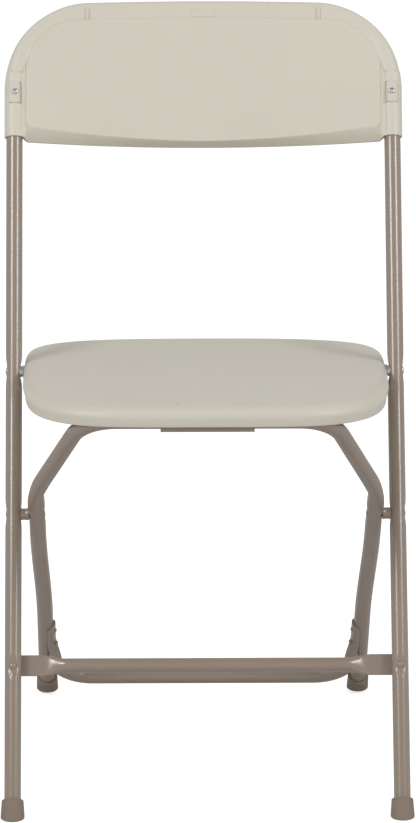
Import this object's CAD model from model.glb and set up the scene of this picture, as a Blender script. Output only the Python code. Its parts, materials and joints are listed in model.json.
"""Looks of the folding chair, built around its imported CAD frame.

Shapes are worked out in millimetres, in the frame of the part they belong to, and turned into metres
when their mesh is made.
"""

import json
import math

import bmesh
import bpy
import numpy as np
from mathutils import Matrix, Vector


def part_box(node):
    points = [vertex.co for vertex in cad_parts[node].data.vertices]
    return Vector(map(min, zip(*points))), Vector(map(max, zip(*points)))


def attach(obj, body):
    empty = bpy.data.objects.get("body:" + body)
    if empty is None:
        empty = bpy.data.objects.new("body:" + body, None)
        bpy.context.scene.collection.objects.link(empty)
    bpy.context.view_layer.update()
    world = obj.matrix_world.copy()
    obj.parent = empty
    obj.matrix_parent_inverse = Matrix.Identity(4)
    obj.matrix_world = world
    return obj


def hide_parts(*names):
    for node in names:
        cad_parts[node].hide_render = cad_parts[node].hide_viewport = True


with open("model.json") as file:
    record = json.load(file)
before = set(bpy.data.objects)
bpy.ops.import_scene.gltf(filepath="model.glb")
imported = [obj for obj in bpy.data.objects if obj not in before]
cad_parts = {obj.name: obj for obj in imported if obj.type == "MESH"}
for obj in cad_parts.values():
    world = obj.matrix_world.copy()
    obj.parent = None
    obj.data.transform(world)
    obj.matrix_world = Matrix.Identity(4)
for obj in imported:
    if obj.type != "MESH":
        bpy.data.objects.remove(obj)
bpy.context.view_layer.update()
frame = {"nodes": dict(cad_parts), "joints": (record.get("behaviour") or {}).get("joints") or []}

MM = 0.001
JOINTS = {joint["name"]: joint for joint in frame["joints"]}


def middle(node):
    """Centre of a CAD node's box, in millimetres."""
    low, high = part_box(node)
    return [(a + b) / 2 / MM for a, b in zip(low, high)]


# ---- places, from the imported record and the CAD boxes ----
SEAT_PIVOT = [v / MM for v in JOINTS["seat_tip"]["pos_m"][1:]]
LEG_PIVOT = [v / MM for v in JOINTS["fold"]["pos_m"][1:]]
HALF_FRONT = middle("front_foot_right")[0]
HALF_REAR = middle("rear_foot_right")[0]

# ---- sizes that the CAD source has too ----
TUBE_R = 9.0
BRACE_R = 8.0
LEAN_LOW, LEAN_HIGH, BEND_Z = 30.27, 27.24, 404.3
REAR_LEAN = 47.52
SEAT_SLOPE = 2.3
END_GAP = 3.0
FOOT_R = 12.5
SCREW_Z = 717.4
HEAD_SINK = 1.4
EAR_X = 197.3


def tan(degrees):
    return math.tan(math.radians(degrees))


def cos(degrees):
    return math.cos(math.radians(degrees))


def sin(degrees):
    return math.sin(math.radians(degrees))


FRONT_FOOT = (LEG_PIVOT[0] - LEG_PIVOT[1] * tan(LEAN_LOW), 0.0)
FRONT_BEND = (FRONT_FOOT[0] + BEND_Z * tan(LEAN_LOW), BEND_Z)
FRONT_LEN = BEND_Z / cos(LEAN_LOW)
REAR_LEN = LEG_PIVOT[1] / cos(REAR_LEAN)


def up_tube(z):
    """Distance from the front leg's bend, along its upper part, of a height."""
    return (z - BEND_Z) / cos(LEAN_HIGH)


def place(points, origin, lean):
    """Points of a part's own frame in the row frame: its z axis leans to the rear by lean degrees."""
    p = np.asarray(points, float)
    y = origin[0] + p[..., 1] * cos(lean) + p[..., 2] * sin(lean)
    z = origin[1] - p[..., 1] * sin(lean) + p[..., 2] * cos(lean)
    return np.stack([p[..., 0], y, z], -1)


def on_low_tube(points):
    return place(points, FRONT_FOOT, LEAN_LOW)


def on_high_tube(points):
    return place(points, FRONT_BEND, LEAN_HIGH)


def on_rear_leg(points):
    return place(points, LEG_PIVOT, -REAR_LEAN)


def on_seat(points):
    return place(points, SEAT_PIVOT, SEAT_SLOPE)


def smooth(t):
    """0 below 0, 1 above 1 and an even curve between."""
    t = np.clip(t, 0, 1)
    return t * t * (3 - 2 * t)


def hump(t):
    """A round bump, 1 at 0 and fading on both sides."""
    return np.exp(-t * t)


# ---- materials ----
def noise(nodes, links, coords, scale, detail=2.0):
    node = nodes.new("ShaderNodeTexNoise")
    node.inputs["Scale"].default_value = scale
    node.inputs["Detail"].default_value = detail
    links.new(coords.outputs["Object"], node.inputs["Vector"])
    return node


def ramp(nodes, links, source, low, high):
    """Turns a 0-1 value into one between two colours."""
    node = nodes.new("ShaderNodeValToRGB")
    node.color_ramp.elements[0].position = 0.3
    node.color_ramp.elements[1].position = 0.7
    node.color_ramp.elements[0].color = (*low, 1)
    node.color_ramp.elements[1].color = (*high, 1)
    links.new(source, node.inputs["Fac"])
    return node


def surface(name, colour, spread, roughness, grain, depth, metal=0.0, mottle=9.0, gleam=0.5):
    """A material with a slightly uneven colour and gloss and a fine relief.

    spread is how far the colour varies, grain the relief's scale and depth its height in metres.
    """
    material = bpy.data.materials.new(name)
    material.use_nodes = True
    nodes, links = material.node_tree.nodes, material.node_tree.links
    shader = nodes["Principled BSDF"]
    shader.inputs["Metallic"].default_value = metal
    shader.inputs["Specular IOR Level"].default_value = gleam
    coords = nodes.new("ShaderNodeTexCoord")
    patches = noise(nodes, links, coords, mottle)
    low = [c * (1 - spread) for c in colour]
    high = [min(1.0, c * (1 + spread)) for c in colour]
    tint = ramp(nodes, links, patches.outputs["Fac"], low, high)
    links.new(tint.outputs["Color"], shader.inputs["Base Color"])
    wear = noise(nodes, links, coords, mottle * 6)
    gloss = nodes.new("ShaderNodeMapRange")
    gloss.inputs["To Min"].default_value = roughness * 0.9
    gloss.inputs["To Max"].default_value = roughness * 1.1
    links.new(wear.outputs["Fac"], gloss.inputs["Value"])
    links.new(gloss.outputs["Result"], shader.inputs["Roughness"])
    relief = noise(nodes, links, coords, grain, 3.0)
    bump = nodes.new("ShaderNodeBump")
    bump.inputs["Strength"].default_value = 0.6
    bump.inputs["Distance"].default_value = depth
    links.new(relief.outputs["Fac"], bump.inputs["Height"])
    links.new(bump.outputs["Normal"], shader.inputs["Normal"])
    return material


MATERIALS = {
    "shell_plastic": surface("moulded_plastic", (0.705, 0.667, 0.565), 0.012, 0.46, 1100, 0.00006),
    "frame_paint": surface("powder_coat", (0.325, 0.255, 0.203), 0.02, 0.25, 700, 0.00002, gleam=0.9),
    "foot_rubber": surface("rubber", (0.275, 0.212, 0.165), 0.03, 0.62, 900, 0.00006),
    "zinc_hardware": surface("zinc_plate", (0.66, 0.68, 0.7), 0.04, 0.27, 1500, 0.00001, metal=1.0,
                             mottle=60.0),
}
CAD_SLOTS = {
    "shell_plastic": ("seat", "backrest"),
    "frame_paint": ("front_leg_left", "front_leg_right", "front_brace", "front_brace_rivets",
                    "leg_pivot_rivets", "leg_pivot_spacers", "rear_frame", "rear_brace", "rear_brace_rivets",
                    "crossbar_catch"),
    "foot_rubber": ("front_foot_left", "front_foot_right", "rear_foot_left", "rear_foot_right"),
    "zinc_hardware": ("back_screws", "seat_pivot_rivets", "seat_pivot_washers", "seat_bracket_left",
                      "seat_bracket_right", "seat_bracket_screws", "catch_screws"),
}
for slot, node_names in CAD_SLOTS.items():
    for node_name in node_names:
        cad_mesh = frame["nodes"][node_name].data
        cad_mesh.materials.clear()
        cad_mesh.materials.append(MATERIALS[slot])

# edges of the CAD pieces that stay in view are softened by this much, in metres
EDGE_SOFT = {"crossbar_catch": 0.0004, "seat_bracket_left": 0.0005, "seat_bracket_right": 0.0005}
for node_name, width in EDGE_SOFT.items():
    bevel = frame["nodes"][node_name].modifiers.new("soft_edges", "BEVEL")
    bevel.width = width
    bevel.segments = 2
    bevel.limit_method = "ANGLE"
    bevel.angle_limit = math.radians(40)


# ---- meshes ----
def add_piece(name, parts, body, slot, nodes=(), sharp=40):
    """One object made of (points, faces) parts in millimetres. It stands for the named CAD nodes."""
    points, faces = [], []
    for part_points, part_faces in parts:
        first = len(points)
        points += [tuple(p * MM) for p in np.asarray(part_points).reshape(-1, 3)]
        faces += [tuple(first + i for i in face) for face in part_faces]
    mesh = bpy.data.meshes.new(name)
    mesh.from_pydata(points, [], faces)
    work = bmesh.new()
    work.from_mesh(mesh)
    bmesh.ops.remove_doubles(work, verts=work.verts, dist=1e-6)
    bmesh.ops.recalc_face_normals(work, faces=work.faces)
    work.to_mesh(mesh)
    work.free()
    mesh.shade_smooth()
    mesh.set_sharp_from_angle(angle=math.radians(sharp))
    mesh.materials.append(MATERIALS[slot])
    piece = bpy.data.objects.new(name, mesh)
    bpy.context.scene.collection.objects.link(piece)
    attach(piece, body)
    if nodes:
        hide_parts(*nodes)
    return piece


def loft(rings, caps=True):
    """Quads between closed rings of points, with a flat face at each end."""
    rings = np.asarray(rings, float)
    m, n = rings.shape[:2]
    faces = [(i * n + j, i * n + (j + 1) % n, (i + 1) * n + (j + 1) % n, (i + 1) * n + j)
             for i in range(m - 1) for j in range(n)]
    if caps:
        faces += [tuple(range(n))[::-1], tuple((m - 1) * n + j for j in range(n))]
    return rings.reshape(-1, 3), faces


def moved(part, to):
    """A part with its points passed through a function."""
    return to(part[0]), part[1]


def mirrored(part):
    """A part on the other side of the chair's middle plane."""
    return part[0] * np.array([-1, 1, 1]), [face[::-1] for face in part[1]]


def spin(profile, segments=48):
    """A solid of revolution about z from (radius, height) pairs, closed at both ends."""
    a = np.linspace(0, 2 * math.pi, segments, endpoint=False)
    rings = [np.stack([r * np.cos(a), r * np.sin(a), np.full(segments, h)], -1) for r, h in profile]
    return loft(rings)


def along_x(part, side, at):
    """A part spun about z, turned to point outwards along x, and moved."""
    p = part[0]
    return np.stack([at[0] + side * p[:, 2], at[1] + p[:, 0], at[2] + p[:, 1]], -1), part[1]


def along_y(part, way, at):
    """A part spun about z, turned to point to the front (-1) or rear (1), and moved."""
    p = part[0]
    return np.stack([at[0] + p[:, 0], at[1] + way * p[:, 2], at[2] + p[:, 1]], -1), part[1]


def along_z(part, way, at):
    """A part spun about z, pointing up (1) or down (-1), and moved."""
    p = part[0]
    return np.stack([at[0] + p[:, 0], at[1] + p[:, 1], at[2] + way * p[:, 2]], -1), part[1]


def rounded_box(low, high, r):
    """A box with chamfered, softened edges."""
    low, high = np.asarray(low, float), np.asarray(high, float)
    corners = [(1, 1), (-1, 1), (-1, -1), (1, -1)]
    rings = []
    for z, inset in [(low[2], r), (low[2] + 0.3 * r, 0.3 * r), (low[2] + r, 0),
                     (high[2] - r, 0), (high[2] - 0.3 * r, 0.3 * r), (high[2], r)]:
        ring = []
        for k, (sx, sy) in enumerate(corners):
            cx = (high[0] - r if sx > 0 else low[0] + r)
            cy = (high[1] - r if sy > 0 else low[1] + r)
            for step in range(4):
                a = math.radians(90 * k + 30 * step)
                reach = r - inset
                ring.append((cx + reach * math.cos(a), cy + reach * math.sin(a), z))
        rings.append(ring)
    return loft(rings)


def dome_profile(r, h, shank_r, shank_h, steps=10):
    """A rivet: its shank from -shank_h to 0, then a round head."""
    head = [(r * math.cos(math.radians(a)), h * math.sin(math.radians(a)))
            for a in np.linspace(0, 90, steps, endpoint=False)]
    return [(shank_r, -shank_h), (shank_r, 0), *head, (0.02, h)]


def screw_head(r, h, shank_r, shank_h):
    """A pan head with a cross recess, on its shank."""
    segments, steps = 64, 16
    a = np.linspace(0, 2 * math.pi, segments, endpoint=False)
    rings = [np.stack([shank_r * np.cos(a), shank_r * np.sin(a), np.full(segments, z)], -1)
             for z in (-shank_h, 0)]
    for k in range(steps + 1):
        f = 1 - k / steps
        rr = max(r * math.sin(math.radians(90 * f)) if k else r, 0.01)
        x, y = rr * np.cos(a), rr * np.sin(a)
        z = h * (1 - (rr / r) ** 4) ** 0.5 if k else 0.0
        near = np.minimum(np.abs(x), np.abs(y))
        cut = smooth((r * 0.17 - near) / (r * 0.08) + 0.5) * smooth((r * 0.58 - rr) / (r * 0.1) + 0.5)
        rings.append(np.stack([x, y, z - 0.62 * h * cut * np.ones(segments)], -1))
    return loft(rings)


# ---- front legs ----
TUBE_TOP = up_tube(SCREW_Z) + 12
FRONT_START = (END_GAP + TUBE_R * sin(LEAN_LOW)) / cos(LEAN_LOW)
FRONT_BRACE_Z = 144.8
BRACE_AT = FRONT_BRACE_Z / cos(LEAN_LOW)
SEAT_PIVOT_S = FRONT_LEN + up_tube(SEAT_PIVOT[1])
LEG_PIVOT_S = LEG_PIVOT[1] / cos(LEAN_LOW)
BEND_HALF = 12.0
TUBE_NOTCH = FRONT_LEN + up_tube(SCREW_Z) - 18
# how deep the tube is pressed at each place, and over what length
SEAT_DIMPLE, SEAT_DIMPLE_W = 1.6, 11
LEG_DIMPLE, LEG_DIMPLE_W = 2.0, 9
RIVET_DIMPLE, RIVET_DIMPLE_W = 1.5, 8
INNER_PRESS, INNER_PRESS_W = 3.4, 10
# above TUBE_NOTCH the tube's inner side is cut away to here
NOTCH_X = -4.4
CREASE_LENGTH, CREASE_DEPTH, CREASE_W = 15, 0.45, 0.13


def front_axis(s):
    """Point and lean of the front leg's axis at a distance from the floor along it."""
    low = np.array([sin(LEAN_LOW), cos(LEAN_LOW)])
    high = np.array([sin(LEAN_HIGH), cos(LEAN_HIGH)])
    bend, d = np.array(FRONT_BEND), s - FRONT_LEN
    if d < -BEND_HALF:
        return bend + low * d, LEAN_LOW
    if d > BEND_HALF:
        return bend + high * d, LEAN_HIGH
    t = (d + BEND_HALF) / (2 * BEND_HALF)
    start, end = bend - low * BEND_HALF, bend + high * BEND_HALF
    at = start * (1 - t) ** 2 + 2 * bend * t * (1 - t) + end * t * t
    return at, LEAN_LOW + (LEAN_HIGH - LEAN_LOW) * t


def stations(start, end, coarse, marks, reach=22.0, fine=1.2):
    """Distances from start to end, closer together near the marks."""
    found = set(np.linspace(start, end, int((end - start) / coarse) + 2))
    for mark in marks:
        found |= {s for s in np.arange(mark - reach, mark + reach, fine) if start < s < end}
    kept = []
    for s in sorted(found):
        if not kept or s - kept[-1] > 0.3 * fine:
            kept.append(s)
    return kept


def front_leg(side, segments=96):
    """A front tube, pressed at the pivots and at the brace rivet."""
    a = np.linspace(0, 2 * math.pi, segments, endpoint=False)
    rings = []
    shaped = (BRACE_AT, LEG_PIVOT_S, FRONT_LEN, SEAT_PIVOT_S)
    for s in stations(FRONT_START, FRONT_LEN + TUBE_TOP, 20, shaped):
        (y, z), lean = front_axis(s)
        out, front = TUBE_R * np.cos(a), TUBE_R * np.sin(a)
        at_seat = SEAT_DIMPLE * hump((s - SEAT_PIVOT_S - 1) / SEAT_DIMPLE_W)
        press = at_seat + LEG_DIMPLE * hump((s - LEG_PIVOT_S) / LEG_DIMPLE_W)
        inner = np.maximum(press * 0.8, INNER_PRESS * hump((s - SEAT_PIVOT_S) / INNER_PRESS_W))
        out = np.clip(out, -TUBE_R + inner, TUBE_R - press)
        if s > TUBE_NOTCH:
            out = np.maximum(out, NOTCH_X)
        front = np.minimum(front, TUBE_R - RIVET_DIMPLE * hump((s - BRACE_AT) / RIVET_DIMPLE_W))
        # two creases run down from the rivet and meet below it
        below = BRACE_AT - s
        if -3 < below < CREASE_LENGTH:
            gap = 0.72 - 0.5 * smooth((below + 1) / 13)
            depth = CREASE_DEPTH * smooth((below + 3) / 4) * smooth((CREASE_LENGTH - below) / 5)
            for way in (-1, 1):
                angle = np.angle(np.exp(1j * (a - math.pi / 2 - way * gap)))
                front = front - depth * hump(angle / CREASE_W)
        dy, dz = -front * cos(lean), front * sin(lean)
        rings.append(np.stack([side * (HALF_FRONT + out), y + dy, z + dz], -1))
    return loft(rings)


for side, word in ((-1, "left"), (1, "right")):
    add_piece(f"front_tube_{word}", [front_leg(side)], "frame", "frame_paint", [f"front_leg_{word}"])


# ---- rubber feet ----
# the rear legs run a little inwards between the pivots and the brace
TOE_IN, TOE_START, TOE_LENGTH = 4.8, 36.0, 203.0


def foot(x, axis_origin, lean, length, start, soft, flare):
    """A flared cap on the end of a leaning tube, flat on the floor with its lower edge rounded."""
    segments = 64
    a = np.linspace(0, 2 * math.pi, segments, endpoint=False)
    ca, sa = np.cos(a), np.sin(a)

    def ring(radius, along):
        local = np.stack([x + radius * ca, radius * sa, along * np.ones(segments)], -1)
        return place(local, axis_origin, lean)

    def floor_at(radius):
        """Where each side line of the cap meets the floor, along the axis."""
        return radius * sa * sin(lean) / cos(lean)

    rings = []
    for step in range(9):
        turn = 90 * step / 8
        radius = FOOT_R + flare - soft * (1 - sin(turn))
        rings.append(ring(radius, floor_at(radius) + soft * (1 - cos(turn)) * 0.75))
    rings[0][:, 2] = 0.0
    for part in (0.25, 0.5, 0.75):
        radius = FOOT_R + flare - (0.6 + flare) * part
        base = floor_at(radius) + soft * 0.75
        rings.append(ring(radius, base + (length - 1.5 - base) * part))
    lip = FOOT_R - 0.6
    rings += [ring(lip, length - 1.2), ring(lip - 0.1, length - 0.5), ring(lip - 0.5, length - 0.1),
              ring(lip - 1.0, length), ring(TUBE_R + 0.25, length), ring(TUBE_R + 0.02, length - 0.8),
              ring(TUBE_R + 0.02, start)]
    return loft([np.maximum(r, [-1e9, -1e9, 0]) for r in rings])


REAR_START = (END_GAP + TUBE_R * sin(REAR_LEAN)) / cos(REAR_LEAN)
REAR_FOOT = (LEG_PIVOT[0] + LEG_PIVOT[1] * tan(REAR_LEAN), 0.0)
for side, word in ((-1, "left"), (1, "right")):
    cap = foot(side * HALF_FRONT, FRONT_FOOT, LEAN_LOW, length=20, start=FRONT_START, soft=2.0, flare=0.5)
    add_piece(f"front_cap_{word}", [cap], "frame", "foot_rubber", [f"front_foot_{word}"])
    toe = side * (HALF_REAR - TOE_IN)
    cap = foot(toe, REAR_FOOT, -REAR_LEAN, length=36, start=REAR_START, soft=8.5, flare=-0.1)
    add_piece(f"rear_cap_{word}", [cap], "rear_frame", "foot_rubber", [f"rear_foot_{word}"])

# ---- front brace ----
BRACE_SHIFT, BRACE_ROUND, BRACE_FLAT, FLAT_T, FLAT_H = 4.2, 150.0, 176.0, 3.0, 23.6
BRACE_END = HALF_FRONT + 5


def brace_ring(x, segments=72):
    """The brace's section at a distance from its middle: round, then pressed flat."""
    a = np.linspace(0, 2 * math.pi, segments, endpoint=False)
    ca, sa = np.cos(a), np.sin(a)
    round_y, round_z = BRACE_R * ca, BRACE_R * sa
    flat_z = FLAT_H / 2 * np.sign(sa) * np.abs(sa) ** 0.8
    edge = np.abs(flat_z) / (FLAT_H / 2)
    flat_y = FLAT_T / 2 * np.sign(ca) * (1 - edge**8) ** 0.5
    w = smooth((abs(x) - BRACE_ROUND) / (BRACE_FLAT - BRACE_ROUND))
    wide = smooth((abs(x) - BRACE_ROUND - 4) / (BRACE_FLAT - BRACE_ROUND))
    y = round_y * (1 - w) + flat_y * w
    z = round_z * (1 - wide) + flat_z * wide
    trim = max(0.0, abs(x) - BRACE_END + 2.5)
    z = np.clip(z, -FLAT_H / 2 + trim, FLAT_H / 2 - trim)
    centre = TUBE_R + FLAT_T / 2
    return np.stack([np.full(segments, x), centre + y, BRACE_AT + BRACE_SHIFT + z], -1)


half_brace = [*np.linspace(0, 146, 8), *np.arange(148, 182, 1.0), *np.linspace(184, BRACE_END - 2.5, 8),
              BRACE_END - 1.5, BRACE_END - 0.6, BRACE_END]
brace_stations = [-x for x in half_brace[:0:-1]] + half_brace
add_piece("front_brace_bar", [moved(loft([brace_ring(x) for x in brace_stations]), on_low_tube)], "frame",
          "frame_paint", ["front_brace"])

rivet = spin(dome_profile(3.9, 2.1, 2.5, 9))
tail = spin(dome_profile(4.4, 1.9, 2.5, 6))
rivets = []
for side in (-1, 1):
    at = [side * HALF_FRONT, -TUBE_R + RIVET_DIMPLE - 0.1, BRACE_AT]
    rivets.append(moved(along_y(rivet, -1, at), on_low_tube))
    at = [side * HALF_FRONT, TUBE_R + FLAT_T, BRACE_AT]
    rivets.append(moved(along_y(tail, 1, at), on_low_tube))
add_piece("front_brace_rivet_heads", rivets, "frame", "frame_paint", ["front_brace_rivets"])

# ---- rear frame ----
ARM_TILT, ARM_START, ARM_BEND_R, CORNER_R, REACH = 18.3, 32.0, 150.0, 48.0, 211.5
PIVOT_PRESS, KINK_PRESS, BEND_SPREAD = 2.5, 1.7, 1.3
ARM_END_Z = REACH - CORNER_R * (1 - sin(ARM_TILT))
ARM_LEN = (ARM_END_Z - ARM_START - ARM_BEND_R * sin(ARM_TILT)) / cos(ARM_TILT)
ARM_FROM = (HALF_REAR - ARM_BEND_R * (1 - cos(ARM_TILT)), ARM_START + ARM_BEND_R * sin(ARM_TILT))
CORNER_X = ARM_FROM[0] - ARM_LEN * sin(ARM_TILT) - CORNER_R * cos(ARM_TILT)


def toed_in(part):
    """A rear frame part in its place: the legs run a little inwards between the pivots and the brace."""
    points, faces = part
    points = np.array(points, float)
    shift = TOE_IN * smooth((-points[:, 2] - TOE_START) / TOE_LENGTH)
    points[:, 0] -= shift * np.clip(points[:, 0] / (HALF_REAR - 20), -1, 1)
    return on_rear_leg(points), faces


def rear_half_path():
    """(x, z, turn) of the right half of the rear tube's axis, from the foot to the middle."""
    path = [(HALF_REAR, z, 0.0) for z in stations(REAR_START - REAR_LEN, ARM_START - 1, 18, (0.0,))]
    for turn in np.linspace(0, ARM_TILT, 36):
        path.append((HALF_REAR - ARM_BEND_R * (1 - cos(turn)), ARM_START + ARM_BEND_R * sin(turn), turn))
    for step in np.linspace(0, ARM_LEN, 12)[1:-1]:
        path.append((ARM_FROM[0] - step * sin(ARM_TILT), ARM_FROM[1] + step * cos(ARM_TILT), ARM_TILT))
    for turn in np.linspace(ARM_TILT, 90, 26):
        path.append((CORNER_X + CORNER_R * cos(turn), REACH - CORNER_R + CORNER_R * sin(turn), turn))
    path += [(x, REACH, 90.0) for x in np.linspace(CORNER_X, 0, 6)[1:]]
    return path


def rear_ring(x, z, turn, segments=72):
    """The rear tube's section at a point of its axis, pressed at the pivot and in the bend."""
    a = np.linspace(0, 2 * math.pi, segments, endpoint=False)
    out, across = TUBE_R * np.cos(a), TUBE_R * np.sin(a)
    out = out + BEND_SPREAD * hump((z - 22) / 20) * (1 + np.cos(a)) / 2
    ring_x, ring_z = x + out * cos(turn), z + out * sin(turn)
    # a cold bend leaves a kink on the inner side, where two planes meet; what is inside both is pressed out
    press = PIVOT_PRESS * hump((z - 2) / 13) + KINK_PRESS * hump((z - 46) / 17)
    leg_depth = HALF_REAR - TUBE_R + press - ring_x
    arm_depth = (ARM_FROM[0] - ring_x) * cos(ARM_TILT) + (ARM_FROM[1] - ring_z) * sin(ARM_TILT) - TUBE_R
    arm_depth = arm_depth + KINK_PRESS * hump((z - 58) / 18)
    pressed = (leg_depth > 0) & (arm_depth > 0) & (z < ARM_FROM[1] + 40)
    by_leg, by_arm = pressed & (leg_depth <= arm_depth), pressed & (arm_depth < leg_depth)
    ring_x = ring_x + np.where(by_leg, leg_depth, 0) + np.where(by_arm, arm_depth * cos(ARM_TILT), 0)
    ring_z = ring_z + np.where(by_arm, arm_depth * sin(ARM_TILT), 0)
    return np.stack([ring_x, across, ring_z], -1)


rear_path = rear_half_path()
right_rings = [rear_ring(*step) for step in rear_path]
left_rings = [ring * np.array([-1, 1, 1]) for ring in right_rings]
add_piece("rear_tube", [toed_in(loft(right_rings + left_rings[-2::-1]))], "rear_frame", "frame_paint",
          ["rear_frame"])

# ---- rear brace ----
# 62 and 174 mm up the leg from the floor
BAR_AT, SADDLE_TOP = 62 - REAR_LEN, 174 - REAR_LEN
BAR_OUT, BAR_BEND_R = 14.0, 44.0
SADDLE_T, SADDLE_SPAN, SADDLE_TURN = 2.4, 116.0, 20.0
SADDLE_ROUND = 8
BAR_X = HALF_REAR - math.sqrt((TUBE_R + BRACE_R + 0.3) ** 2 - BAR_OUT**2)
BEND_TOP = BAR_AT + BAR_BEND_R


def bar_ring(x, z, turn, segments=72):
    """A round ring of the bar. Its points start at the side that faces away from the leg."""
    a = np.linspace(-math.pi / 2, 1.5 * math.pi, segments, endpoint=False)
    face = math.radians(180 + SADDLE_TURN)
    out, across = BRACE_R * np.cos(a + face), BRACE_R * np.sin(a + face)
    return np.stack([x + out * cos(turn), -BAR_OUT + across, z + out * sin(turn)], -1)


def saddle_ring(z, span, segments=72):
    """The pressed end of the brace: a shell round the front-inner side of the leg."""
    half = segments // 2
    u = np.linspace(-1, 1, half)
    a = np.concatenate([u * span / 2, u[::-1] * span / 2]) + 180 + SADDLE_TURN
    inner = TUBE_R + 0.15
    radius = np.concatenate([inner + SADDLE_T * np.sqrt(1 - 0.85 * u**8), np.full(half, inner)])
    return np.stack([HALF_REAR + radius * np.cos(np.radians(a)), radius * np.sin(np.radians(a)),
                     np.full(segments, z)], -1)


bar_rings = [bar_ring(x, BAR_AT, -90) for x in np.linspace(0, BAR_X - BAR_BEND_R, 8)]
for turn in np.linspace(-90, 0, 28)[1:]:
    ring = bar_ring(BAR_X - BAR_BEND_R + BAR_BEND_R * cos(turn), BEND_TOP + BAR_BEND_R * sin(turn), turn)
    bar_rings.append(ring)
MORPH = 30.0
for step in np.linspace(0, 1, 21)[1:]:
    z = BEND_TOP + MORPH * step
    w = smooth(step * 1.05)
    bar_rings.append(bar_ring(BAR_X, z, 0) * (1 - w) + saddle_ring(z, SADDLE_SPAN) * w)
for z in np.linspace(BEND_TOP + MORPH + 2, SADDLE_TOP - SADDLE_ROUND, 12):
    bar_rings.append(saddle_ring(z, SADDLE_SPAN))
for step in np.linspace(0.1, 0.97, 9):
    z = SADDLE_TOP - SADDLE_ROUND + SADDLE_ROUND * step
    bar_rings.append(saddle_ring(z, SADDLE_SPAN * math.sqrt(1 - step**2)))
bar_left = [ring * np.array([-1, 1, 1]) for ring in bar_rings]
add_piece("rear_brace_bar", [toed_in(loft(bar_left[:0:-1] + bar_rings))], "rear_frame", "frame_paint",
          ["rear_brace"])

# each saddle's two rivets: distance up the leg, and from the leg's axis to the head's base
SADDLE_RIVETS = ((129, 12.6), (160, 11.4))
saddle_rivets = []
for up, radius in SADDLE_RIVETS:
    head = spin(dome_profile(3.0, 1.9, 2.4, 3.2))
    turn = math.radians(180 + SADDLE_TURN)
    across, away, along = head[0].T
    reach = radius + along
    points = np.stack([HALF_REAR + reach * np.cos(turn) - across * np.sin(turn),
                       reach * np.sin(turn) + across * np.cos(turn), up - REAR_LEN + away], -1)
    saddle_rivets += [toed_in((points, head[1])), toed_in(mirrored((points, head[1])))]
add_piece("rear_brace_rivet_heads", saddle_rivets, "rear_frame", "frame_paint", ["rear_brace_rivets"])

# ---- pivots ----
FRONT_OUTER, FRONT_INNER = HALF_FRONT + TUBE_R, HALF_FRONT - TUBE_R
REAR_INNER, REAR_OUTER = HALF_REAR - TUBE_R, HALF_REAR + TUBE_R
leg_pivot_parts, seat_pivot_parts, spacer_parts = [], [], []
for side in (-1, 1):
    outer_head = spin(dome_profile(5.2, 1.5, 3.2, 30))
    leg_pivot_parts.append(along_x(outer_head, side, [side * (FRONT_OUTER - LEG_DIMPLE), *LEG_PIVOT]))
    inner_head = spin(dome_profile(5.2, 2.2, 3.2, 20))
    leg_pivot_parts.append(along_x(inner_head, -side, [side * (REAR_INNER + PIVOT_PRESS - 0.1), *LEG_PIVOT]))
    outer_head = spin(dome_profile(5.0, 1.9, 3.0, 23))
    seat_pivot_parts.append(along_x(outer_head, side, [side * (FRONT_OUTER - SEAT_DIMPLE), *SEAT_PIVOT]))
    inner_head = spin(dome_profile(4.6, 1.8, 3.0, 4))
    seat_pivot_parts.append(along_x(inner_head, -side, [side * (EAR_X - 4), *SEAT_PIVOT]))
    length = FRONT_INNER + HEAD_SINK - REAR_OUTER - 0.1
    sleeve = spin([(3.3, 0), (6.2, 0), (6.7, 0.5), (6.7, 2.0), (6.3, 2.5), (6.3, length - 1.6),
                   (6.8, length - 1.0), (6.8, length), (3.3, length)])
    spacer_parts.append(along_x(sleeve, side, [side * (REAR_OUTER + 0.1), *LEG_PIVOT]))
add_piece("leg_pivot_rivet_heads", leg_pivot_parts, "frame", "frame_paint", ["leg_pivot_rivets"])
add_piece("seat_pivot_rivet_heads", seat_pivot_parts, "frame", "zinc_hardware", ["seat_pivot_rivets"])
# a collar on each seat pivot sits in the press on the front tube's inner side
collar = spin([(3.05, 0.2), (6.6, 0.2), (6.9, 0.5), (6.9, 1.5), (6.6, 1.8), (5.4, 1.9), (5.4, 2.6),
               (6.3, 2.7), (6.3, 5.1), (3.05, 5.1)])
collars = [along_x(collar, side, [side * (FRONT_INNER - 2.0), *SEAT_PIVOT]) for side in (-1, 1)]
add_piece("seat_pivot_collars", collars, "frame", "zinc_hardware", ["seat_pivot_washers"])
add_piece("leg_pivot_sleeves", spacer_parts, "frame", "frame_paint", ["leg_pivot_spacers"])

# ---- backrest ----
BACK_W, CORNER_W, CORNER_H = 221.0, 94.0, 104.0
BACK_TOP, SOCKET_END = up_tube(812), up_tube(672.6)
SCREW_AT = up_tube(SCREW_Z)
PANEL_LOW, PANEL_ARC = SOCKET_END - 4, 4.8
SOCKET_R = TUBE_R + 2.3
BOW, BACK_DEPTH, SKIN = 12.0, 16.0, 3.0
CROWN, CROWN_SIDE = 3.1, 0.3
CORNER_UP, CORNER_OUT = 2.2, 1.8
LOW_RISE = 1.2
PAD_X, PAD_HALF_W, PAD_UP, PAD_H = 210.1, 5.8, 11.5, 24
SLOT_X, SLOT_HALF_W, SLOT_FLOOR = 203.2, 1.0, 1.0
BAND_DEPTH, BAND_ROLL, BAND_CLEAR = 12.0, 1.25, 1.8
BAND_MID_H, BAND_GROWTH = 3.9, 10.9
GROOVE_DEPTH, GROOVE_AT, GROOVE_W = 1.5, 0.86, 0.22
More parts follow.
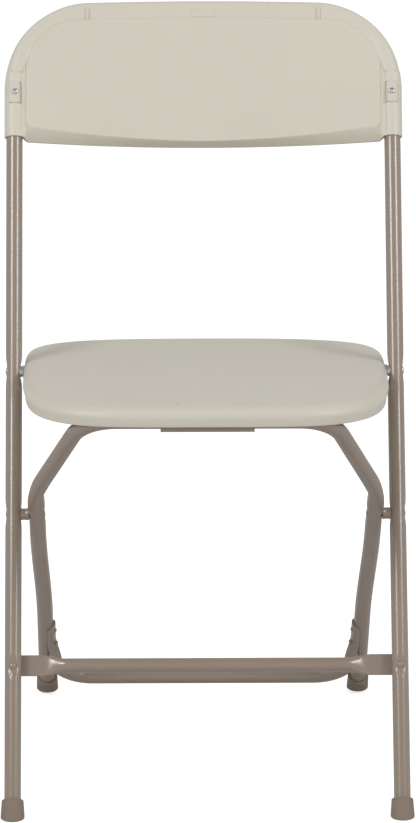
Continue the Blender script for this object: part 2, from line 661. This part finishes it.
# the columns merge into the rim over this length, from this far above the screws
MERGE_FROM, MERGE_LENGTH = 16, 70
STEP_X, STEP_TOP, STEP_CORNER, STEP_FOOT = 196.0, 20.7, 62.0, 190.0
COLUMN_IN, COLUMN_SIDE = 195.0, 221.3


def panel_y(x):
    """Depth of the bowed panel's face."""
    return -SOCKET_R + BOW * (1 - (x / HALF_FRONT) ** 2)


def low_z(x):
    """Height of the panel's lower edge."""
    return PANEL_LOW + LOW_RISE - PANEL_ARC * (1 - (x / BACK_W) ** 2)


def band_h(x):
    """Height of the rolled band below the panel's face."""
    return BAND_MID_H + BAND_GROWTH * (np.abs(x) / COLUMN_IN) ** 1.6


def back_curves():
    """The right half of the outline and of the panel's edge, point by point, from bottom to top."""
    x = np.linspace(0, STEP_FOOT, 81)
    outline = [(v * COLUMN_IN / STEP_FOOT, low_z(v * COLUMN_IN / STEP_FOOT)) for v in x]
    edge = [(v, low_z(v) + band_h(v)) for v in x]
    corner_z = low_z(STEP_FOOT) + band_h(STEP_FOOT)
    side_z = corner_z + STEP_X - STEP_FOOT
    fan = [(197, PANEL_LOW + 0.9), (198.6, PANEL_LOW + 2.2), (200.2, SOCKET_END - 0.2), (203, SOCKET_END),
           (206, SOCKET_END), (209, SOCKET_END), (212, SOCKET_END), (215, SOCKET_END),
           (218, SOCKET_END + 0.1), (220, SOCKET_END + 0.5), (221, SOCKET_END + 1.6)]
    fan += [(BACK_W, z) for z in np.linspace(SOCKET_END + 4, side_z - 1, 8)]
    outline += fan
    for turn in np.linspace(-90, 0, len(fan) + 1)[1:]:
        edge.append((STEP_FOOT + (STEP_X - STEP_FOOT) * cos(turn), side_z + (STEP_X - STEP_FOOT) * sin(turn)))
    top_z = BACK_TOP - STEP_TOP - STEP_CORNER
    ellipse_z = BACK_TOP - 2 - CORNER_H
    rise = CORNER_H + 2 + CROWN_SIDE

    def side_x(z):
        over = max(0.0, z - ellipse_z) / rise
        return BACK_W - CORNER_W + CORNER_W * (1 - over**CORNER_UP) ** (1 / CORNER_OUT)

    for z in np.linspace(side_z, top_z, 70)[1:]:
        outline.append((side_x(z), z))
        edge.append((STEP_X, z))
    start = math.degrees(math.asin(((top_z - ellipse_z) / rise) ** (CORNER_UP / 2)))
    for k in range(1, 49):
        turn = start + (90 - start) * k / 48
        outline.append((BACK_W - CORNER_W + CORNER_W * max(cos(turn), 0) ** (2 / CORNER_OUT),
                        ellipse_z + rise * sin(turn) ** (2 / CORNER_UP)))
        turn = 90 * k / 48
        edge.append((STEP_X - STEP_CORNER + STEP_CORNER * cos(turn), top_z + STEP_CORNER * sin(turn)))
    far = BACK_W - CORNER_W
    for k in range(1, 31):
        v = far * (1 - k / 30)
        outline.append((v, BACK_TOP + CROWN_SIDE + CROWN * (1 - (v / far) ** 2)))
        v = (STEP_X - STEP_CORNER) * (1 - k / 30)
        edge.append((v, BACK_TOP - STEP_TOP + CROWN * (1 - (v / far) ** 2)))
    return np.array(outline), np.array(edge)


def whole(half):
    """A closed loop from its right half."""
    return np.concatenate([half, half[-2:0:-1] * np.array([-1, 1])])


outline, edge = (whole(half) for half in back_curves())
span = np.linalg.norm(outline - edge, axis=1)


def front_face(t):
    """Points of the front between the outline (0) and the panel's edge (1)."""
    p = outline * (1 - t) + edge * t
    x, z = p[:, 0], p[:, 1]
    ax = np.abs(x)
    panel = panel_y(x)
    d = np.where(z < BACK_TOP - STEP_TOP - STEP_CORNER, COLUMN_SIDE - ax, t * span + 0.3)
    d = np.maximum(d, 0)
    column = -np.sqrt(np.maximum(SOCKET_R**2 - (SOCKET_R - np.minimum(d, 2 * SOCKET_R)) ** 2, 0))
    column = np.where(d > SOCKET_R, np.minimum(column, panel + 2.6), column)
    fillet = 5.0
    edge_drop = fillet - np.sqrt(np.maximum(fillet**2 - np.maximum(fillet - d, 0) ** 2, 0))
    groove = GROOVE_DEPTH * smooth((BACK_TOP - 14 - z) / 40) * hump((t - GROOVE_AT) / GROOVE_W)
    rim = panel + 1.2 + edge_drop + groove
    k = 1 - smooth((z - (SCREW_AT + MERGE_FROM)) / MERGE_LENGTH)
    y = column * k + rim * (1 - k)
    y = y + (panel - y) * smooth((t - 0.92) / 0.08)
    # the screw pads and the slots beside them
    below_top = SCREW_AT + PAD_UP - z
    level = (below_top > 0) & (below_top < PAD_H)
    pad = (np.abs(ax - PAD_X) < PAD_HALF_W) & level
    y = np.where(pad, np.minimum(y, -SOCKET_R - 0.2 - 1.2 * below_top / PAD_H), y)
    slot_here = (np.abs(ax - SLOT_X) < SLOT_HALF_W) & level
    y = np.where(slot_here, SLOT_FLOOR, y)
    # the band along the lower edge rolls back
    q = np.clip((z - low_z(x)) / band_h(x), 0, 1)
    band = panel + BAND_DEPTH * (1 - q) ** BAND_ROLL
    low = (1 - smooth((ax - COLUMN_IN) / 4)) * (z < low_z(x) + band_h(x) + 0.01)
    y = np.where(ax < 199.5, y * (1 - low) + band * low, y)
    return np.stack([x, y, z], -1)


def behind_band(x, z, depth):
    """A depth behind the panel's face, kept behind the band that rolls back along the lower edge."""
    q = np.clip((z - low_z(x)) / band_h(x), 0, 1)
    band = BAND_DEPTH * (1 - q) ** BAND_ROLL + BAND_CLEAR
    return np.where((q < 1) & (np.abs(x) < COLUMN_IN + 4), np.maximum(depth, band), depth)


def inward(f, y_shift):
    """Points of the panel between its edge (0) and its middle line (1)."""
    core_z = (BACK_TOP + PANEL_LOW) / 2
    core = np.stack([np.clip(edge[:, 0], -130, 130), np.full(len(edge), core_z)], -1)
    p = edge * (1 - f) + core * f
    return np.stack([p[:, 0], panel_y(p[:, 0]) + y_shift, p[:, 1]], -1)


def flange(depth, margin):
    """A loop at a depth behind the panel's face and a distance inside the outline."""
    t = (margin / np.maximum(span, margin))[:, None]
    p = outline * (1 - t) + edge * t
    return np.stack([p[:, 0], panel_y(p[:, 0]) + behind_band(p[:, 0], p[:, 1], depth), p[:, 1]], -1)


rim_steps = np.concatenate([np.linspace(0, 0.2, 16)[:-1], np.linspace(0.2, 1, 44)])
back_rings = [inward(f, 0) for f in (1.0, 0.97, 0.9, 0.8, 0.68, 0.55, 0.42, 0.3, 0.2, 0.12, 0.06, 0.02)]
back_rings += [front_face(t) for t in rim_steps[::-1]]
for depth, margin in ((BACK_DEPTH - 1.2, 0.0), (BACK_DEPTH - 0.35, 0.35), (BACK_DEPTH, 1.1),
                      (BACK_DEPTH, 2.2), (BACK_DEPTH - 0.8, SKIN), (SKIN + 1.5, SKIN + 0.4),
                      (SKIN + 0.4, SKIN + 1.2), (SKIN, SKIN + 3)):
    back_rings.append(flange(depth, margin))
back_rings += [inward(f, SKIN) for f in (0.0, 0.1, 0.3, 0.6, 1.0)]
back_parts = [loft(back_rings, caps=False)]

COLUMN_TOP = TUBE_TOP + 2
column = spin([(TUBE_R + 0.1, SOCKET_END + 14), (TUBE_R + 0.1, SOCKET_END + 0.3), (TUBE_R + 0.4, SOCKET_END),
               (SOCKET_R - 0.6, SOCKET_END), (SOCKET_R - 0.15, SOCKET_END + 0.5),
               (SOCKET_R - 0.15, COLUMN_TOP - 4), (SOCKET_R - 1.2, COLUMN_TOP - 1.4),
               (SOCKET_R - 3.8, COLUMN_TOP), (0.1, COLUMN_TOP)])
column_points = column[0] + np.array([HALF_FRONT, 0, 0])
column_points[:, 1] = np.maximum(column_points[:, 1], -4.0)
column = (column_points, column[1])
back_parts += [column, mirrored(column)]
RIB_X, RIB_LOW, RIB_HIGH = 129.0, 20.7, 7.0
MARK_HALF_W, MARK_LOW, MARK_HIGH = 13, 15.8, 6.6
for side in (-1, 1):
    face = panel_y(RIB_X) + 1.1
    back_parts.append(rounded_box((side * RIB_X - 1.8, face - 1.9, BACK_TOP - RIB_LOW),
                                  (side * RIB_X + 1.8, face + 1.5, BACK_TOP - RIB_HIGH), 0.6))
# a plain raised pad in the middle of the upper rim
face = panel_y(0) + 1.1
back_parts.append(rounded_box((-MARK_HALF_W, face - 0.45, BACK_TOP - MARK_LOW),
                              (MARK_HALF_W, face + 1, BACK_TOP - MARK_HIGH), 0.3))
# upright and level stiffening ribs across the hollow back
STIFF_X = (-150, -90, -30, 30, 90, 150)
STIFF_Z = (SCREW_AT - 4, SCREW_AT + 52)
for x in STIFF_X:
    at = panel_y(x) + SKIN
    back_parts.append(rounded_box((x - 1.1, at - 1, low_z(x) + band_h(x) + 1),
                                  (x + 1.1, at + 8, BACK_TOP - 4), 0.5))
for z in STIFF_Z:
    rings = []
    for x in np.linspace(-198, 198, 34):
        at = panel_y(x) + SKIN
        rings.append([(x, at - 1, z - 1.1), (x, at + 7.6, z - 1.0), (x, at + 8, z - 0.6),
                      (x, at + 8, z + 0.6), (x, at + 7.6, z + 1.0), (x, at - 1, z + 1.1)])
    back_parts.append(loft(rings))
add_piece("backrest_shell", [moved(part, on_high_tube) for part in back_parts], "frame", "shell_plastic",
          ["backrest"], sharp=50)

screw = screw_head(3.7, 2.1, 2.0, 6)
BACK_SCREW_X = 209.4
screws = [moved(along_y(screw, -1, [side * BACK_SCREW_X, -SOCKET_R - 0.7, SCREW_AT]), on_high_tube)
          for side in (-1, 1)]
add_piece("back_screw_heads", screws, "frame", "zinc_hardware", ["back_screws"])

# ---- seat ----
# the seat's widest line, this far behind the front feet
MID_BEHIND_FEET = 189
SEAT_MID = FRONT_FOOT[0] + MID_BEHIND_FEET - SEAT_PIVOT[0]
SEAT_HALF_W, SEAT_FRONT, SEAT_REAR = 197.0, 188.0, 213.5
RIM_UP, SKIRT_LOW, UNDERSIDE = 8.0, -12.8, 2.8


def seat_outline(margin):
    """The outline, drawn inwards by a margin: one superellipse for the rear half, one for the front."""
    points = []
    for k in range(240):
        a = 2 * math.pi * (k + 0.5) / 240
        c, s = math.cos(a), math.sin(a)
        length, p = (SEAT_REAR, (3, 7)) if s > 0 else (SEAT_FRONT, (4.8, 2.7))
        points.append(((SEAT_HALF_W - margin) * abs(c) ** (2 / p[0]) * math.copysign(1, c),
                       (length - margin) * abs(s) ** (2 / p[1]) * math.copysign(1, s)))
    return np.array(points)


SEAT_TURN = np.arctan2(seat_outline(0)[:, 1], seat_outline(0)[:, 0])
TO_REAR = smooth(np.sin(SEAT_TURN) * 1.4)
TO_FRONT = smooth(-np.sin(SEAT_TURN) * 1.4)
EDGE_R = 9 + 5 * TO_FRONT - 3 * TO_REAR
EDGE_DROP = 6 + 5.5 * TO_FRONT - 3 * TO_REAR
REAR_RISE = 1.2
SIDE_SPREAD, SPREAD_REACH = 1.8, 30
DISH, DISH_W = 3.0, 30 + 34 * TO_REAR - 6 * TO_FRONT


def seat_top(margin):
    """A loop of the seat's upper side: a rounded edge, then the rim falling to the dished middle."""
    p = seat_outline(margin)
    round_off = np.sqrt(np.maximum(1 - np.maximum(1 - margin / EDGE_R, 0) ** 2, 0))
    fall = smooth((margin - EDGE_R * 0.8) / DISH_W)
    z = RIM_UP + REAR_RISE * TO_REAR * (1 - fall) - EDGE_DROP * (1 - round_off) - DISH * fall
    spread = SIDE_SPREAD * smooth(1 - margin / SPREAD_REACH) * np.cos(SEAT_TURN) ** 3
    return np.stack([p[:, 0] + spread, SEAT_MID + p[:, 1], z], -1)


def seat_ring(margin, z):
    """A level loop at a margin inside the outline."""
    p = seat_outline(margin)
    return np.stack([p[:, 0], SEAT_MID + p[:, 1], np.full(len(p), z)], -1)


def seat_core(f, z, start):
    """The flat middle, from the ring at a margin to a line across the centre."""
    p = seat_outline(start)
    core = np.stack([np.clip(p[:, 0], -90, 90), np.full(len(p), 10.0)], -1)
    q = p * (1 - f) + core * f
    return np.stack([q[:, 0], SEAT_MID + q[:, 1], np.full(len(q), z)], -1)


TOP_MARGINS = [0, 0.15, 0.5, 1, 1.7, 2.6, 3.7, 5, 6.5, 8, 10, 12, 14, 17, 20, 24, 28, 33, 38, 44, 50, 57, 64,
               72]
seat_rings = [seat_core(f, RIM_UP - DISH, 72) for f in (1.0, 0.8, 0.55, 0.3, 0.1)]
seat_rings += [seat_top(margin) for margin in TOP_MARGINS[::-1]]
seat_rings += [seat_ring(0.2, -6.5), seat_ring(0.7, SKIRT_LOW + 2), seat_ring(0.95, SKIRT_LOW + 0.7),
               seat_ring(1.2, SKIRT_LOW + 0.1), seat_ring(1.5, SKIRT_LOW), seat_ring(1.8, SKIRT_LOW + 0.3),
               seat_ring(2.0, SKIRT_LOW + 1), seat_ring(2.1, UNDERSIDE - 2.5),
               seat_ring(4.2, UNDERSIDE - 0.8), seat_ring(6.5, UNDERSIDE)]
seat_rings += [seat_core(f, UNDERSIDE, 8) for f in (0.0, 0.3, 0.65, 1.0)]
seat_parts = [loft(seat_rings, caps=False)]
# under the seat: a rail near each side, the bosses for the brackets' screws and three middle ribs
RAIL_X, RAIL_LOW, RAIL_TO_FRONT, RAIL_TO_REAR = 166, -9, 110, 140
MID_RIB_X, MID_RIB_FRONT, MID_RIB_LOW = 60, -34, -6
HALF_RIB, RIB_ROOT = 1.25, UNDERSIDE + 0.5
BRACKET_SCREW_X, BRACKET_SCREW_Y, BRACKET_LOW = 186, 13, -14.8
for side in (-1, 1):
    x = side * RAIL_X
    seat_parts.append(rounded_box((x - HALF_RIB, SEAT_MID - RAIL_TO_FRONT, RAIL_LOW),
                                  (x + HALF_RIB, SEAT_MID + RAIL_TO_REAR, RIB_ROOT), 0.5))
    for y in (-BRACKET_SCREW_Y, BRACKET_SCREW_Y):
        boss = spin([(5, SKIRT_LOW), (5.2, RIB_ROOT)])
        seat_parts.append((boss[0] + np.array([side * BRACKET_SCREW_X, y, 0]), boss[1]))
for x in (-MID_RIB_X, 0, MID_RIB_X):
    seat_parts.append(rounded_box((x - HALF_RIB, MID_RIB_FRONT, MID_RIB_LOW),
                                  (x + HALF_RIB, SEAT_MID + SEAT_REAR - 6, RIB_ROOT), 0.5))
add_piece("seat_shell", [moved(part, on_seat) for part in seat_parts], "seat", "shell_plastic", ["seat"],
          sharp=50)

screw = screw_head(3.6, 1.8, 1.8, 10)
bracket_screws = [moved(along_z(screw, -1, [side * BRACKET_SCREW_X, y, BRACKET_LOW]), on_seat)
                  for side in (-1, 1) for y in (-BRACKET_SCREW_Y, BRACKET_SCREW_Y)]
add_piece("bracket_screw_heads", bracket_screws, "seat", "zinc_hardware", ["seat_bracket_screws"])

# ---- floor, light, camera ----
floor_mesh = bpy.data.meshes.new("floor")
FLOOR, FLOOR_GLOW = 14.0, 0.75
floor_mesh.from_pydata([(-FLOOR, -FLOOR, 0), (FLOOR, -FLOOR, 0), (FLOOR, FLOOR, 0), (-FLOOR, FLOOR, 0)], [],
                       [(0, 1, 2, 3)])
floor = bpy.data.objects.new("floor", floor_mesh)
bpy.context.scene.collection.objects.link(floor)
# the floor glows for the camera only, so that it lights nothing
pale = surface("pale_floor", (0.72, 0.72, 0.72), 0.002, 0.6, 300, 0.00001)
pale_nodes = pale.node_tree.nodes
seen = pale_nodes.new("ShaderNodeLightPath")
glow = pale_nodes.new("ShaderNodeMath")
glow.operation = "MULTIPLY"
glow.inputs[1].default_value = FLOOR_GLOW
pale.node_tree.links.new(seen.outputs["Is Camera Ray"], glow.inputs[0])
pale.node_tree.links.new(glow.outputs["Value"], pale_nodes["Principled BSDF"].inputs["Emission Strength"])
pale_nodes["Principled BSDF"].inputs["Emission Color"].default_value = (1, 1, 1, 1)
floor_mesh.materials.append(pale)

world = bpy.data.worlds.new("studio")
world.use_nodes = True
sky_nodes, sky_links = world.node_tree.nodes, world.node_tree.links
# bright at the horizon, dimmer and a little cooler overhead
sky_coords = sky_nodes.new("ShaderNodeTexCoord")
sky_parts = sky_nodes.new("ShaderNodeSeparateXYZ")
sky_tint = sky_nodes.new("ShaderNodeValToRGB")
sky_tint.color_ramp.elements[0].color = (0.84, 0.82, 0.79, 1)
sky_tint.color_ramp.elements[1].color = (0.3, 0.31, 0.33, 1)
sky_tint.color_ramp.elements[1].position = 0.8
sky_links.new(sky_coords.outputs["Generated"], sky_parts.inputs["Vector"])
sky_links.new(sky_parts.outputs["Z"], sky_tint.inputs["Fac"])
sky_links.new(sky_tint.outputs["Color"], sky_nodes["Background"].inputs["Color"])
bpy.context.scene.world = world
bpy.context.scene.view_settings.view_transform = "Standard"


AIM_Z = 0.45


def softbox(name, azimuth, elevation, distance, size, power, colour=(1, 1, 1)):
    """A rectangular light that looks at the chair's middle."""
    data = bpy.data.lights.new(name, "AREA")
    data.shape = "RECTANGLE"
    data.size, data.size_y = size
    data.energy = power
    data.color = colour
    light = bpy.data.objects.new(name, data)
    bpy.context.scene.collection.objects.link(light)
    light.location = (distance * sin(azimuth) * cos(elevation), -distance * cos(azimuth) * cos(elevation),
                      AIM_Z + distance * sin(elevation))
    light.rotation_euler = (math.radians(90 - elevation), 0, math.radians(azimuth))
    return light


# one light in front of the chair on each side, well above it
softbox("key_left", -48, 41, 2.9, (0.75, 0.7), 23)
softbox("key_right", 57, 38, 2.75, (0.65, 0.75), 18)

SENSOR, LENS = 36.0, 256.9
CAMERA_AT = (-0.07496, -6.28928, 1.91324)
PITCH, YAW = 13.615, 0.714
camera_data = bpy.data.cameras.new("camera")
camera_data.sensor_width = SENSOR
camera_data.lens = LENS
camera = bpy.data.objects.new("camera", camera_data)
bpy.context.scene.collection.objects.link(camera)
camera.location = CAMERA_AT
camera.rotation_euler = (math.radians(90 - PITCH), 0, math.radians(-YAW))
bpy.context.scene.camera = camera

bpy.context.view_layer.update()
